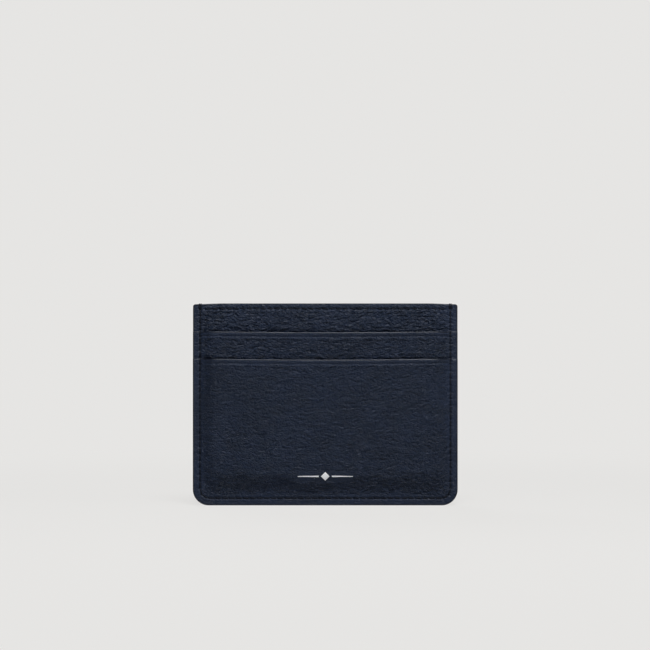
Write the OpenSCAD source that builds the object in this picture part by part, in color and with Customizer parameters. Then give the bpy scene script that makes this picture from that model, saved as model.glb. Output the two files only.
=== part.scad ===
// Card holder: two sewn panels with an open compartment between them and two card slots on each face.
// Frame: X across the width, Y through the thickness with the front at -Y, Z up. The origin is at the
// middle of the bottom edge, on which the holder stands.

/* [Cards] */
// Width of the card that the slots take
card_w = 85.6; // [60:0.1:110]
// Height of the card that the slots take
card_h = 53.98; // [45:0.01:80]
// Thickness of the card that the slots take
card_t = 0.76; // [0.4:0.02:1.6]
// How much of each card shows above its pocket mouth
card_show = 5.4; // [2:0.1:12]
// Free play between a card and each side of its slot
side_clearance = 0.4; // [0.1:0.1:2]
// Free play through the thickness of each slot
slot_clearance = 0.08; // [0.02:0.02:0.4]

/* [Outline] */
// Height from each pocket mouth to the next one, and from the upper mouth to the top edge
slot_step = 10.3; // [8:0.1:16]
// Radius of the two bottom corners
bottom_corner_r = 6; // [4:0.5:12]
// Radius of the two top corners
top_corner_r = 1; // [0.5:0.25:1.75]

/* [Sheets] */
// Thickness of the panel leather
panel_leather_t = 0.6; // [0.4:0.05:1.5]
// Thickness of the stiffener behind the panel leather
stiffener_t = 0.2; // [0.1:0.05:0.8]
// Thickness of the upper pocket leather
upper_leather_t = 0.5; // [0.4:0.05:1.5]
// Thickness of the front pocket leather
pocket_leather_t = 0.55; // [0.4:0.05:1.5]
// Thickness of each textile lining
lining_t = 0.1; // [0.05:0.05:0.4]
// Thickness of the paint on the cut edges
edge_coat_t = 0.15; // [0.1:0.05:0.4]

/* [Seams] */
// Distance from the side and bottom edges to the perimeter seam
seam_inset = 2.75; // [2:0.05:4]
// Distance from the top edge of the panel to its top seam
top_seam_inset = 2; // [1.5:0.1:4]
// Flat land inside a seam, before the sheets part to form a slot
seam_land = 0.65; // [0.5:0.05:2]
// Width of the slope over which the sheets part to form a slot
slope_run = 3.4; // [2.5:0.1:8]
// Distance from one stitch hole to the next
stitch_pitch = 2.62; // [2:0.02:5]
// Width of the flattened thread on the surface
thread_w = 0.5; // [0.3:0.05:0.9]
// Thickness of the flattened thread on the surface
thread_t = 0.18; // [0.1:0.02:0.4]
// Diameter of the thread inside a stitch hole
thread_leg_d = 0.36; // [0.2:0.02:0.6]
// Gap between the thread and the wall of a stitch hole
hole_clearance = 0.04; // [0.02:0.01:0.1]

/* [Creases and foil] */
// Distance from a pocket mouth to its pressed crease line
crease_inset = 1.8; // [1:0.1:4]
// Width of the pressed crease line
crease_w = 0.5; // [0.2:0.1:1]
// Depth of the pressed crease line
crease_depth = 0.12; // [0.05:0.01:0.25]
// Length of the foil mark
foil_w = 20.8; // [10:0.1:40]
// Height of the lozenge in the middle of the foil mark
foil_h = 3.3; // [1:0.1:6]
// Gap from the slope over the bottom seam up to the foil mark
foil_gap = 2.65; // [0.4:0.05:6]
// Thickness of the foil layer
foil_t = 0.04; // [0.02:0.01:0.1]

/* [Hidden] */
$fn = 48;

// From an outer edge to the line where the sheets start to part
seam_zone = seam_inset + seam_land;
// From an outer edge to the edge of a card in its slot
card_zone = seam_zone + slope_run;
body_w = card_w + 2 * (side_clearance + card_zone);
// Heights of the two pocket mouths, the top edge and the stop seam that ends the upper slot
pocket_mouth_z = card_zone + card_h - card_show;
upper_mouth_z = pocket_mouth_z + slot_step;
body_h = upper_mouth_z + slot_step;
stop_seam_z = upper_mouth_z - card_h + card_show - slope_run - seam_land;
top_seam_z = body_h - top_seam_inset;

// From a bottom corner of the outline, along its diagonal, to where the sheets start to part
corner_flat = bottom_corner_r * sqrt(2) - bottom_corner_r + seam_zone;

// Distances from the middle plane to the faces of the stacked sheets, where they are sewn together
panel_lining_y = lining_t;
panel_stiffener_y = panel_lining_y + stiffener_t;
panel_leather_y = panel_stiffener_y + panel_leather_t;
upper_lining_y = panel_leather_y + lining_t;
upper_leather_y = upper_lining_y + upper_leather_t;
pocket_lining_y = upper_leather_y + lining_t;
pocket_leather_y = pocket_lining_y + pocket_leather_t;

// How far each sheet stands off its sewn position over the cards. The middle compartment also has room
// for the threads of the top seams and stop seams that show inside it.
panel_rise = (card_t + 2 * thread_t + slot_clearance) / 2;
upper_rise = panel_rise + card_t + slot_clearance;
pocket_rise = upper_rise + card_t + slot_clearance;

thread_hole_d = thread_leg_d + 2 * hole_clearance;
// Depth and diameter of the dip where a stitch enters its hole
dip_depth = thread_t / 2;
dip_d = thread_w + hole_clearance;
// Room outside the solids for the tools that cut them
past = 1;

leather_colour = [0.13, 0.15, 0.2];
lining_colour = [0.1, 0.11, 0.15];
board_colour = [0.55, 0.5, 0.42];
thread_colour = [0.07, 0.08, 0.12];
coat_colour = [0.08, 0.08, 0.11];
foil_colour = [0.78, 0.79, 0.8];

// ---- stitch positions -------------------------------------------------------------------------------

side_run = top_seam_z - bottom_corner_r;
corner_path_r = bottom_corner_r - seam_inset;
corner_run = corner_path_r * PI / 2;
bottom_run = body_w - 2 * bottom_corner_r;
half_run = side_run + corner_run + bottom_run / 2;
half_stitches = round(half_run / stitch_pitch);

// A point [x, z] on the right half of the perimeter seam, at distance s from the middle of the bottom
function seam_point(s) =
    s <= bottom_run / 2 ? [s, seam_inset] :
    s <= bottom_run / 2 + corner_run ?
        let (turn = (s - bottom_run / 2) / corner_path_r * 180 / PI)
        [body_w / 2 - bottom_corner_r + corner_path_r * sin(turn), bottom_corner_r - corner_path_r * cos(turn)] :
    [body_w / 2 - seam_inset, bottom_corner_r + s - bottom_run / 2 - corner_run];

perimeter_holes = [for (i = [-half_stitches:half_stitches])
    let (p = seam_point(abs(i) * half_run / half_stitches)) [sign(i) * p[0], p[1]]];

// A straight row of holes at height z. It ends where the two panels have parted by the thickness of the
// two bobbin threads that lie between them.
row_half = body_w / 2 - seam_zone - slope_run * thread_t / panel_rise - thread_w / 2;
row_stitches = round(2 * row_half / stitch_pitch);
function row_holes(z) = [for (i = [0:row_stitches]) [-row_half + i * 2 * row_half / row_stitches, z]];

// Distance from the middle plane to the outermost sheet at height z, where the sheets are sewn together
function stack_y(z) =
    z < pocket_mouth_z ? pocket_leather_y :
    z < upper_mouth_z ? upper_leather_y : panel_leather_y;

// ---- shared shapes ----------------------------------------------------------------------------------

// The holder's outline in X and Z without its top edge, moved inwards by inset: its sides run past the top
module tray(inset) {
    union() {
        for (side = [-1, 1])
            translate([side * (body_w / 2 - bottom_corner_r), bottom_corner_r]) circle(bottom_corner_r - inset);
        translate([-body_w / 2 + bottom_corner_r, inset])
            square([body_w - 2 * bottom_corner_r, bottom_corner_r]);
        translate([-body_w / 2 + inset, bottom_corner_r])
            square([body_w - 2 * inset, body_h + past - bottom_corner_r]);
    }
}

// The holder's whole outline in X and Z, moved inwards by inset and cut off at height top
module outline(inset, top) {
    shoulder = body_h - top_corner_r;
    intersection() {
        tray(inset);
        union() {
            for (side = [-1, 1])
                translate([side * (body_w / 2 - top_corner_r), shoulder]) circle(top_corner_r - inset);
            translate([-body_w, -past]) square([2 * body_w, shoulder + past]);
            translate([-body_w / 2 + top_corner_r, 0]) square([body_w - 2 * top_corner_r, body_h - inset]);
        }
        translate([-body_w, -past]) square([2 * body_w, top + past]);
    }
}

// Carries a shape drawn in X and Z to the slab between two distances in front of the middle plane
module in_front(from_y, to_y) {
    translate([0, -from_y, 0]) rotate([90, 0, 0]) linear_extrude(to_y - from_y) children();
}

// Everything behind a sheet face that lies face_y in front of the middle plane along the seams, and
// stands off by low_rise up to the stop seam and by rise above it. It ends at y = back.
module behind_face(face_y, rise, low_rise, back) {
    flat_x = body_w / 2 - seam_zone;
    full_x = flat_x - slope_run;
    slope_z = stop_seam_z + seam_land;
    // How far the slopes would run on outwards before they reach the back
    run_on = slope_run * (face_y + back) / rise;
    low_run_on = slope_run * (face_y + back) / low_rise;
    union() {
        translate([-body_w / 2 - past, -face_y, -past])
            cube([body_w + 2 * past, face_y + back, body_h + 2 * past]);
        intersection() {
            translate([0, 0, -2 * past])
                linear_extrude(body_h + 4 * past)
                    polygon([
                        [-flat_x - run_on, back], [-full_x, -face_y - rise],
                        [full_x, -face_y - rise], [flat_x + run_on, back]
                    ]);
            translate([-body_w / 2 - 2 * past, 0, 0])
                rotate([90, 0, 90])
                    linear_extrude(body_w + 4 * past)
                        polygon(concat(
                            [[back, seam_zone - low_run_on], [-face_y - low_rise, card_zone]],
                            rise > low_rise
                                ? [[-face_y - low_rise, slope_z], [-face_y - rise, slope_z + slope_run]]
                                : [],
                            [[-face_y - rise, body_h + 2 * past], [back, body_h + 2 * past]]
                        ));
            translate([body_w / 2, 0, 0]) rotate([0, 225, 0]) behind_corner(face_y, rise, low_run_on, back);
            translate([-body_w / 2, 0, 0]) rotate([0, -45, 0]) behind_corner(face_y, rise, low_run_on, back);
        }
    }
}

// The slope across a bottom corner, inside the bend of the seam, as steep as the one over the bottom
// seam. X runs from the corner diagonally into the holder.
module behind_corner(face_y, rise, run_on, back) {
    reach = body_w + body_h;
    full_run = run_on * rise / (face_y + back);
    linear_extrude(2 * reach, center = true)
        polygon([
            [corner_flat - run_on, back], [corner_flat + full_run, -face_y - rise],
            [reach, -face_y - rise], [reach, back]
        ]);
}

// A crowned sheet between two faces
module sheet(inner_y, outer_y, rise, low_rise, inset, top) {
    difference() {
        intersection() {
            behind_face(outer_y, rise, low_rise, past);
            in_front(-past, body_w) outline(inset, top);
        }
        behind_face(inner_y, rise, low_rise, 2 * past);
    }
}

// The paint on the top edge of a sheet
module top_edge_coat(inner_y, outer_y, rise, low_rise, top, depth) {
    intersection() {
        sheet(inner_y, outer_y, rise, low_rise, 0, top);
        translate([-body_w, -body_w, top - depth]) cube([2 * body_w, 2 * body_w, depth + past]);
    }
}

// The holes of a row of stitches, through every sheet of one half
module stitch_holes(points) {
    for (p = points)
        translate([p[0], past, p[1]]) rotate([90, 0, 0]) cylinder(d = thread_hole_d, h = body_w);
}

// The pressed line below a pocket mouth, as a cutter that follows the crowned face. It ends just inside
// the lines where the sheets start to part.
module crease(outer_y, rise, low_rise, mouth_z) {
    half_length = body_w / 2 - seam_zone - crease_w;
    difference() {
        translate([-half_length, -body_w, mouth_z - crease_inset - crease_w / 2])
            cube([2 * half_length, body_w, crease_w]);
        behind_face(outer_y - crease_depth, rise, low_rise, 2 * past);
    }
}

module rear() {
    mirror([0, 1, 0]) children();
}

// ---- sheets of one half -----------------------------------------------------------------------------

module pocket_leather() {
    color(leather_colour)
        difference() {
            sheet(pocket_lining_y, pocket_leather_y, pocket_rise, pocket_rise,
                  edge_coat_t, pocket_mouth_z - edge_coat_t);
            crease(pocket_leather_y, pocket_rise, pocket_rise, pocket_mouth_z);
            stitch_holes(perimeter_holes);
        }
}

module pocket_lining() {
    color(lining_colour)
        difference() {
            sheet(upper_leather_y, pocket_lining_y, pocket_rise, pocket_rise,
                  edge_coat_t, pocket_mouth_z - edge_coat_t);
            stitch_holes(perimeter_holes);
        }
}

module pocket_edge_coat() {
    color(coat_colour)
        difference() {
            top_edge_coat(upper_leather_y, pocket_leather_y, pocket_rise, pocket_rise,
                          pocket_mouth_z, edge_coat_t);
            side_paint_cut();
        }
}

module upper_pocket_leather() {
    color(leather_colour)
        difference() {
            sheet(upper_lining_y, upper_leather_y, upper_rise, panel_rise,
                  edge_coat_t, upper_mouth_z - edge_coat_t);
            crease(upper_leather_y, upper_rise, panel_rise, upper_mouth_z);
            stitch_holes(perimeter_holes);
            stitch_holes(row_holes(stop_seam_z));
        }
}

module upper_pocket_lining() {
    color(lining_colour)
        difference() {
            sheet(panel_leather_y, upper_lining_y, upper_rise, panel_rise,
                  edge_coat_t, upper_mouth_z - edge_coat_t);
            stitch_holes(perimeter_holes);
            stitch_holes(row_holes(stop_seam_z));
        }
}

module upper_pocket_edge_coat() {
    color(coat_colour)
        difference() {
            top_edge_coat(panel_leather_y, upper_leather_y, upper_rise, panel_rise,
                          upper_mouth_z, edge_coat_t);
            side_paint_cut();
        }
}

module panel_sheet(inner_y, outer_y) {
    difference() {
        sheet(inner_y, outer_y, panel_rise, panel_rise, edge_coat_t, body_h);
        stitch_holes(perimeter_holes);
        stitch_holes(row_holes(stop_seam_z));
        stitch_holes(row_holes(top_seam_z));
    }
}

module panel_leather() {
    color(leather_colour) panel_sheet(panel_stiffener_y, panel_leather_y);
}

module panel_stiffener() {
    color(board_colour) panel_sheet(panel_lining_y, panel_stiffener_y);
}

module panel_lining() {
    color(lining_colour) panel_sheet(0, panel_lining_y);
}

// Everything within the paint's thickness of the side edges
module side_paint_cut() {
    for (side = [-1, 1])
        translate([side * body_w / 2 - edge_coat_t, -body_w / 2, 0])
            cube([2 * edge_coat_t, body_w, body_h - top_corner_r]);
}

module panel_edge_coat() {
    color(coat_colour)
        difference() {
            top_edge_coat(0, panel_leather_y, panel_rise, panel_rise, body_h, top_corner_r);
            in_front(-2 * past, body_w) outline(edge_coat_t, body_h);
        }
}

// ---- threads of one half ----------------------------------------------------------------------------

// The parts of a thread that go down into the stitch holes, from distance top_y to distance end_y
module thread_legs(points, top_y, end_y) {
    for (p = points)
        translate([p[0], -end_y, p[1]]) rotate([90, 0, 0]) cylinder(d = thread_leg_d, h = top_y - end_y);
}

// The dips between stitches, where a thread whose outer face is at distance face_y enters a hole
module stitch_dips(points, face_y) {
    for (p = points)
        translate([p[0], -face_y + dip_depth, p[1]]) rotate([90, 0, 0]) cylinder(d = dip_d, h = past);
}

// A straight row of stitches at height z on one panel: a flat thread on the face at distance face_y, and
// legs from there to the surface at distance lock_y. Both follow the slopes at the ends of the row.
// The face stands off by rise where the slots are fully open.
module needle_row(z, face_y, rise, lock_y) {
    color(thread_colour)
        union() {
            intersection() {
                difference() {
                    behind_face(face_y + thread_t, rise, panel_rise, past);
                    behind_face(face_y, rise, panel_rise, 2 * past);
                }
                row_band(z);
            }
            intersection() {
                difference() {
                    behind_face(face_y + thread_t / 2, rise, panel_rise, past);
                    behind_face(lock_y, panel_rise, panel_rise, 2 * past);
                }
                row_legs(z);
            }
        }
}

// The other thread of the row, on the lining inside the middle compartment
module bobbin_row(z, lock_y) {
    color(thread_colour)
        union() {
            intersection() {
                difference() {
                    behind_face(0, panel_rise, panel_rise, past);
                    behind_face(-thread_t, panel_rise, panel_rise, 2 * past);
                }
                row_band(z);
            }
            intersection() {
                difference() {
                    behind_face(lock_y, panel_rise, panel_rise, past);
                    behind_face(-thread_t / 2, panel_rise, panel_rise, 2 * past);
                }
                row_legs(z);
            }
        }
}

module row_band(z) {
    translate([-row_half - thread_w / 2, -body_w / 2, z - thread_w / 2])
        cube([2 * row_half + thread_w, body_w, thread_w]);
}

module row_legs(z) {
    for (p = row_holes(z))
        translate([p[0], past, p[1]]) rotate([90, 0, 0]) cylinder(d = thread_leg_d, h = body_w / 2);
}

// The needle and bobbin threads of a row lock together half way through the sheets that they hold
module stop_seam_needle_thread() {
    needle_row(stop_seam_z, upper_leather_y, upper_rise, upper_leather_y / 2);
}

module stop_seam_bobbin_thread() {
    bobbin_row(stop_seam_z, upper_leather_y / 2);
}

module top_seam_needle_thread() {
    needle_row(top_seam_z, panel_leather_y, panel_rise, panel_leather_y / 2);
}

module top_seam_bobbin_thread() {
    bobbin_row(top_seam_z, panel_leather_y / 2);
}

// One of the two perimeter threads: it steps down at the pocket mouths and passes over the top edge at
// both ends, where it meets the other one at the middle plane. Its legs lock with the other's there too.
module perimeter_thread() {
    low_y = pocket_leather_y;
    mid_y = upper_leather_y;
    high_y = panel_leather_y;
    color(thread_colour)
        union() {
            difference() {
                intersection() {
                    in_front(-past, body_w)
                        difference() {
                            tray(seam_inset - thread_w / 2);
                            tray(seam_inset + thread_w / 2);
                        }
                    translate([-body_w / 2, 0, 0])
                        rotate([90, 0, 90])
                            linear_extrude(body_w)
                                polygon([
                                    [-low_y - thread_t, 0], [-low_y - thread_t, pocket_mouth_z + thread_t],
                                    [-mid_y - thread_t, pocket_mouth_z + thread_t],
                                    [-mid_y - thread_t, upper_mouth_z + thread_t],
                                    [-high_y - thread_t, upper_mouth_z + thread_t],
                                    [-high_y - thread_t, body_h + thread_t], [0, body_h + thread_t],
                                    [0, body_h], [-high_y, body_h], [-high_y, upper_mouth_z],
                                    [-mid_y, upper_mouth_z], [-mid_y, pocket_mouth_z],
                                    [-low_y, pocket_mouth_z], [-low_y, 0]
                                ]);
                }
                for (p = perimeter_holes)
                    stitch_dips([p], stack_y(p[1]) + thread_t);
            }
            for (p = perimeter_holes)
                thread_legs([p], stack_y(p[1]) + thread_t - 1.5 * dip_depth, 0);
        }
}

// ---- pieces of the whole holder ---------------------------------------------------------------------

// The paint on the side and bottom edges, stepped like the sheets that it covers
module perimeter_edge_coat() {
    low_y = pocket_leather_y;
    color(coat_colour)
        difference() {
            intersection() {
                in_front(-low_y, low_y) outline(0, body_h - top_corner_r);
                translate([-body_w / 2 - past, 0, 0])
                    rotate([90, 0, 90])
                        linear_extrude(body_w + 2 * past)
                            polygon([
                                [-low_y, 0], [low_y, 0], [low_y, pocket_mouth_z],
                                [upper_leather_y, pocket_mouth_z], [upper_leather_y, upper_mouth_z],
                                [panel_leather_y, upper_mouth_z], [panel_leather_y, body_h],
                                [-panel_leather_y, body_h], [-panel_leather_y, upper_mouth_z],
                                [-upper_leather_y, upper_mouth_z], [-upper_leather_y, pocket_mouth_z],
                                [-low_y, pocket_mouth_z]
                            ]);
            }
            in_front(-body_w, body_w) outline(edge_coat_t, body_h);
        }
}

// The foil mark: a lozenge between two slim bars, low on the flat of the front pocket
module foil_mark() {
    foil_z = card_zone + foil_gap + foil_h / 2;
    bar_h = foil_h / 6;
    gap = foil_h / 4;
    color(foil_colour)
        translate([0, 0, foil_z])
            in_front(pocket_leather_y + pocket_rise, pocket_leather_y + pocket_rise + foil_t) {
                polygon([[-foil_h / 2, 0], [0, -foil_h / 2], [foil_h / 2, 0], [0, foil_h / 2]]);
                for (side = [-1, 1])
                    polygon([
                        [side * (foil_h / 2 + gap), -bar_h / 2], [side * foil_w / 2, -bar_h / 4],
                        [side * foil_w / 2, bar_h / 4], [side * (foil_h / 2 + gap), bar_h / 2]
                    ]);
            }
}

// ---- the assembly -----------------------------------------------------------------------------------

pocket_leather();  // front_pocket_leather
pocket_lining();  // front_pocket_lining
pocket_edge_coat();  // front_pocket_edge_coat
upper_pocket_leather();  // front_upper_pocket_leather
upper_pocket_lining();  // front_upper_pocket_lining
upper_pocket_edge_coat();  // front_upper_pocket_edge_coat
stop_seam_needle_thread();  // front_stop_seam_needle_thread
stop_seam_bobbin_thread();  // front_stop_seam_bobbin_thread
panel_leather();  // front_panel_leather
panel_stiffener();  // front_panel_stiffener
panel_lining();  // front_panel_lining
panel_edge_coat();  // front_panel_edge_coat
top_seam_needle_thread();  // front_top_seam_needle_thread
top_seam_bobbin_thread();  // front_top_seam_bobbin_thread
rear() pocket_leather();  // rear_pocket_leather
rear() pocket_lining();  // rear_pocket_lining
rear() pocket_edge_coat();  // rear_pocket_edge_coat
rear() upper_pocket_leather();  // rear_upper_pocket_leather
rear() upper_pocket_lining();  // rear_upper_pocket_lining
rear() upper_pocket_edge_coat();  // rear_upper_pocket_edge_coat
rear() stop_seam_needle_thread();  // rear_stop_seam_needle_thread
rear() stop_seam_bobbin_thread();  // rear_stop_seam_bobbin_thread
rear() panel_leather();  // rear_panel_leather
rear() panel_stiffener();  // rear_panel_stiffener
rear() panel_lining();  // rear_panel_lining
rear() panel_edge_coat();  // rear_panel_edge_coat
rear() top_seam_needle_thread();  // rear_top_seam_needle_thread
rear() top_seam_bobbin_thread();  // rear_top_seam_bobbin_thread
perimeter_thread();  // perimeter_needle_thread
rear() perimeter_thread();  // perimeter_bobbin_thread
perimeter_edge_coat();
foil_mark();
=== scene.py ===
import math

import bmesh
import bpy
import numpy as np
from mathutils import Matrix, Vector, noise


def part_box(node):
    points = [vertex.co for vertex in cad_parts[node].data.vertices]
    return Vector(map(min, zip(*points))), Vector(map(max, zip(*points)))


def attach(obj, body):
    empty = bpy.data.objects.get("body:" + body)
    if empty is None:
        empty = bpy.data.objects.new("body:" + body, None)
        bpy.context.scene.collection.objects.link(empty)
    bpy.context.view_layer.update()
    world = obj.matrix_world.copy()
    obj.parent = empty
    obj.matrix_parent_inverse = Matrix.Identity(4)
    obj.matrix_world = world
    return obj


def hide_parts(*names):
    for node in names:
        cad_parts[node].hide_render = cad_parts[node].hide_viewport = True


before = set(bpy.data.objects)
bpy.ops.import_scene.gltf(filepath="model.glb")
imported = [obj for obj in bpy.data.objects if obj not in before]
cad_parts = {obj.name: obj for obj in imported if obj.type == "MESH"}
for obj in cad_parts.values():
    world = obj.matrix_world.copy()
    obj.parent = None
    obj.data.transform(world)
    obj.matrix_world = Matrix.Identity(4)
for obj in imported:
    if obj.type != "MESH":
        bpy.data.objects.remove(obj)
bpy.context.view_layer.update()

# ---- camera -----------------------------------------------------------------------------------------
# A product camera with a long lens, level in front of the holder and a little below its top edge.
# The holder's own sizes below are millimetres; the camera, the studio and the frame are in metres.
MM = 0.001
CAMERA_X = -0.0001
CAMERA_DISTANCE = 0.9
CAMERA_Z = 0.0681
VIEW_WIDTH = 0.2459
SENSOR_WIDTH = 36

scene = bpy.context.scene
scene.view_settings.view_transform = "Standard"
camera_data = bpy.data.cameras.new("camera")
camera_data.sensor_width = SENSOR_WIDTH
camera_data.lens = SENSOR_WIDTH * CAMERA_DISTANCE / VIEW_WIDTH
camera = bpy.data.objects.new("camera", camera_data)
camera.location = (CAMERA_X, -CAMERA_DISTANCE, CAMERA_Z)
camera.rotation_euler = (math.radians(90), 0, 0)
scene.collection.objects.link(camera)
scene.camera = camera

# ---- panels: leather --------------------------------------------------------------------------------
# The walls of the middle compartment, one in front and one behind: grained cowhide, skived thin, glued
# to a stiffener and a lining, and sewn to the other panel along three sides. All the sheets lie flat in
# the seams and stand off softly over the cards, so they share one outline and one crown.
PANEL_LEATHER_T = 0.6
STIFFENER_T = 0.2
LINING_T = 0.1
EDGE_COAT_T = 0.15
CORNER_R = 6.0
TOP_CORNER_R = 1.0
SEAM_INSET = 2.75
TOP_SEAM_INSET = 2.0
STITCH_PITCH = 2.62
ROW_HALF = 45.33
CROWN_START = 2.6
CROWN_RUN = 5.8
CROWN_CORNER_R = 14.0
CROWN_SQUARENESS = 5.2
BOTTOM_EASE = 0.66
TOP_LEAN = 0.58
LEAN_START = 1
LEAN_RUN = 9.5
RIDGE_LENGTH = 3.6
RIDGE_SPACING = 1.4
RIDGE_WIDTH = 0.3
RIDGE_BEND = 0.6
RIDGE_BEND_LENGTH = 3.3
BEND_SEED = 1795095579
WRINKLE_HEIGHT = 0.7
WRINKLE_FINER = 1.6
WRINKLE_SHIFT = Vector((3.1, 7.7, 0))
PANEL_GRAIN = 0.5
PANEL_PRESSING = 0.75
GRAIN_OVERLAP = 1.5
SWELL_HEIGHT = 0.16
SWELL_WIDTH = 0.3
SWELL_ASIDE = 0.85
HOLE_DEPTH = 0.25
HOLE_WIDTH = 0.45
GROOVE_DEPTH = 0.2
GROOVE_WIDTH = 0.5
EDGE_DIP = 0.07
EDGE_DIP_RUN = 0.5
SEAM_MARGIN = 3
MARGIN_FADE = 2.2
SEAM_FADE = 1.4
TOP_BOW = 0.3
BOW_RUN = 12
BOW_HEIGHT = 6
MOUTH_SAG = 0.3
SAG_RUN = 40
SLOT_HOLLOW = 0.26
SLOT_WIDTH = 0.7
SLOT_BELOW = 0.1
HIDDEN_LINE_STEP = 4
TINY = 0.001
GRAIN_DEPTH = 0.3
FURROW_SHADE = 0.6
FURROW_ROUGHNESS = 0.12
PATCH_ROUGHNESS = 0.03
PORE_HEIGHT = 0.35
NAVY_DEEP = (0.0025, 0.009, 0.026, 1)
NAVY_LIGHT = (0.0045, 0.0125, 0.035, 1)


def box_mm(name):
    """The lowest and highest corner of a CAD node, in millimetres."""
    low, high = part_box(name)
    return low / MM, high / MM


half_w = box_mm("perimeter_edge_coat")[1].x
holder_h = box_mm("front_panel_edge_coat")[1].z
pocket_mouth_z = box_mm("front_pocket_edge_coat")[1].z
upper_mouth_z = box_mm("front_upper_pocket_edge_coat")[1].z
top_seam_z = holder_h - TOP_SEAM_INSET
panel_y = LINING_T + STIFFENER_T + PANEL_LEATHER_T
panel_rise = -box_mm("front_panel_leather")[0].y - panel_y


def smooth(t):
    """The soft step from 0 to 1."""
    t = np.clip(t, 0, 1)
    return t * t * (3 - 2 * t)


def hump(distance, width):
    """A soft ridge, 1 high and about twice width across."""
    return np.exp(-((distance / width) ** 2))


def crown(x, z):
    """How far the sheets have opened: 0 in the seams, 1 over the cards."""
    u = np.clip(CROWN_CORNER_R - (half_w - np.abs(x)), 0, None)
    v = np.clip(CROWN_CORNER_R - BOTTOM_EASE * z, 0, None)
    inward = CROWN_CORNER_R - (u**CROWN_SQUARENESS + v**CROWN_SQUARENESS) ** (1 / CROWN_SQUARENESS)
    return smooth((inward - CROWN_START) / CROWN_RUN)


def edge_distance(x, z):
    """Distance in from the side or bottom edge, up to CORNER_R, and CORNER_R anywhere further in."""
    u = np.clip(CORNER_R - (half_w - np.abs(x)), 0, None)
    v = np.clip(CORNER_R - z, 0, None)
    return CORNER_R - np.hypot(u, v)


def panel_stand(x, z):
    """How far a panel stands off the middle plane. The two panels lean together above the pockets."""
    lean = TOP_LEAN * smooth((z - upper_mouth_z - LEAN_START) / LEAN_RUN)
    return (panel_rise - lean) * crown(x, z)


def lines(*stops):
    """Grid lines through (place, spacing) stops; each spacing holds as far as the next stop."""
    places = []
    for (start, spacing), (end, _) in zip(stops, stops[1:]):
        places += list(np.linspace(start, end, max(1, round((end - start) / spacing)), endpoint=False))
    return np.array(places + [stops[-1][0]])


def sheet_place(verts, xs, zs, top_r):
    """Where the verts of a unit grid lie in the outline of a sheet, with its corners rounded."""
    x = xs[[round((v.co.x + 0.5) * (len(xs) - 1)) for v in verts]]
    z = zs[[round((v.co.y + 0.5) * (len(zs) - 1)) for v in verts]]
    for r, z_c, way in ((CORNER_R - EDGE_COAT_T, CORNER_R, -1), (top_r, zs[-1] - top_r, 1)):
        x_c = half_w - EDGE_COAT_T - r
        u = (np.abs(x) - x_c) / max(r, TINY)
        v = (z - z_c) * way / max(r, TINY)
        pull = np.maximum(u, v) / np.maximum(np.hypot(u, v), TINY)
        in_block = (u > 0) & (v > 0)
        new_x = np.sign(x) * (x_c + r * u * pull)
        new_z = z_c + way * r * v * pull
        x, z = np.where(in_block, new_x, x), np.where(in_block, new_z, z)
    return x, z


def grid_line(edge, columns, rows):
    """The number of the line of a unit grid that an edge lies on."""
    start, end = (v.co for v in edge.verts)
    return round((start.x + 0.5) * columns if start.x == end.x else (start.y + 0.5) * rows)


def cut_sheet(side, xs, zs, inner, outer, relief=None, top_r=0.0):
    """A closed sheet between two faces, which are given as distances from the middle plane.

    side is -1 in front and 1 behind. relief gives the outer face's height over its plain crown, and how
    flat its grain is pressed, which the leather reads as the attribute "pressed". The inner face is
    hidden and plain, so it keeps only every few grid lines.
    """
    bm = bmesh.new()
    pressed = bm.verts.layers.float.new("pressed")
    bmesh.ops.create_grid(bm, x_segments=len(xs) - 1, y_segments=len(zs) - 1, size=0.5)
    outer_verts = bm.verts[:]
    grown = bmesh.ops.extrude_face_region(bm, geom=bm.faces[:])["geom"]
    inner_verts = [g for g in grown if isinstance(g, bmesh.types.BMVert)]
    inner_faces = {g for g in grown if isinstance(g, bmesh.types.BMFace)}
    spare_edges = []
    for edge in bm.edges:
        inside = sum(face in inner_faces for face in edge.link_faces)
        edge.smooth = inside != 1
        if inside == 2 and grid_line(edge, len(xs) - 1, len(zs) - 1) % HIDDEN_LINE_STEP:
            spare_edges.append(edge)
    x, z = sheet_place(outer_verts, xs, zs, top_r)
    height, flat = relief(x, z) if relief else (0 * x, 0 * x)
    for v, vx, vy, vz, vf in zip(outer_verts, x, side * (outer(x, z) + height), z, flat):
        v.co = (vx, vy, vz)
        v[pressed] = vf
    x, z = sheet_place(inner_verts, xs, zs, top_r)
    for v, vx, vy, vz in zip(inner_verts, x, side * inner(x, z), z):
        v.co = (vx, vy, vz)
        v[pressed] = 1
    bmesh.ops.dissolve_edges(bm, edges=spare_edges, use_verts=True)
    bmesh.ops.recalc_face_normals(bm, faces=bm.faces)
    return bm


def fit(name, bm, material, nodes):
    """Makes a bmesh drawn in millimetres a smooth piece of the holder, which stands for CAD nodes."""
    bmesh.ops.scale(bm, vec=(MM, MM, MM), verts=bm.verts)
    for face in bm.faces:
        face.smooth = True
    mesh = bpy.data.meshes.new(name)
    bm.to_mesh(mesh)
    bm.free()
    mesh.materials.append(material)
    piece = bpy.data.objects.new(name, mesh)
    scene.collection.objects.link(piece)
    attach(piece, "root")
    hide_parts(*nodes)
    return piece


# Without a seed of its own, noise_vector starts from the clock and bends the ridges anew at every run.
noise.seed_set(BEND_SEED)


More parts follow.
